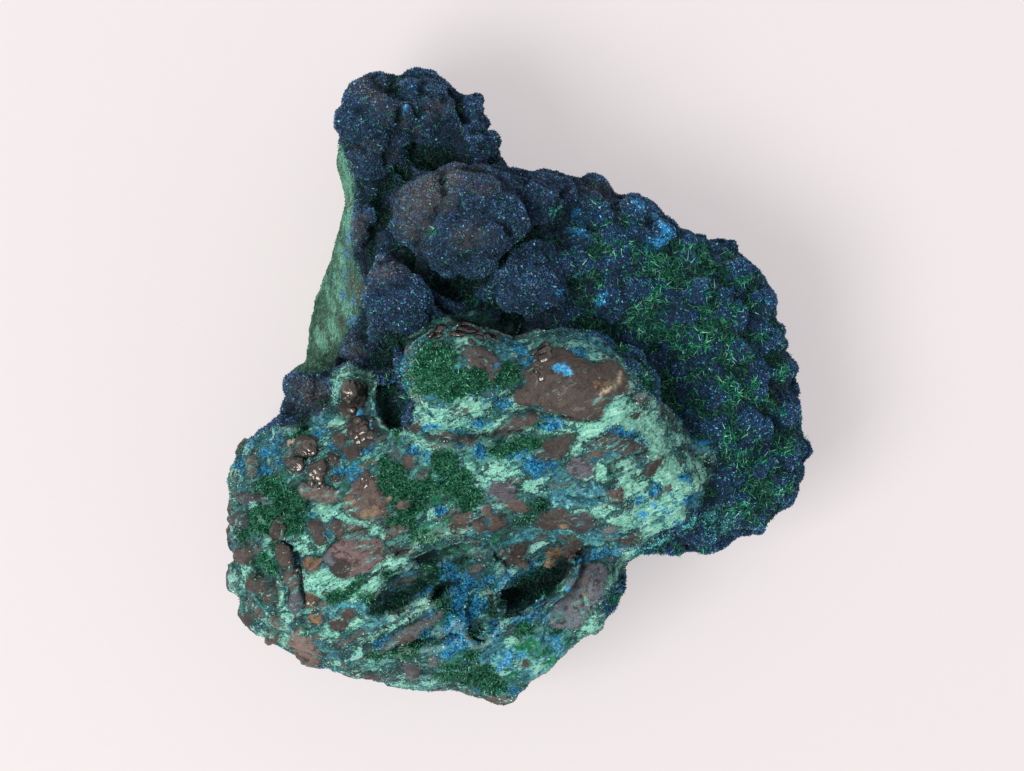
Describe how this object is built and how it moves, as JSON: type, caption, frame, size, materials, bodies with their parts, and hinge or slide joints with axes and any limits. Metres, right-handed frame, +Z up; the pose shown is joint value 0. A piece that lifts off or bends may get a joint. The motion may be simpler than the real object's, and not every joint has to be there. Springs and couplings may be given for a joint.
{
  "type": "cornetite malachite specimen",
  "caption": "Natural mineral specimen: a worn copper-ore matrix with a botryoidal blue and green crystal crust, lying on its flat underside.",
  "frame": {"origin": "centre of the view on the flat patch of the underside that the specimen lies on", "axes": "+Z up, +Y towards the narrow head at the back, +X towards the broad blue wing; the worn matrix face is at the front, -Y"},
  "size_m": [0.0814, 0.0885, 0.0503],
  "materials": {
    "matrix": "worn rock with green, blue and brown minerals",
    "cornetite": "small glassy dark blue crystals",
    "malachite": "silky green needles"
  },
  "bodies": {
    "root": {"specimen": "matrix"}
  },
  "joints": []
}
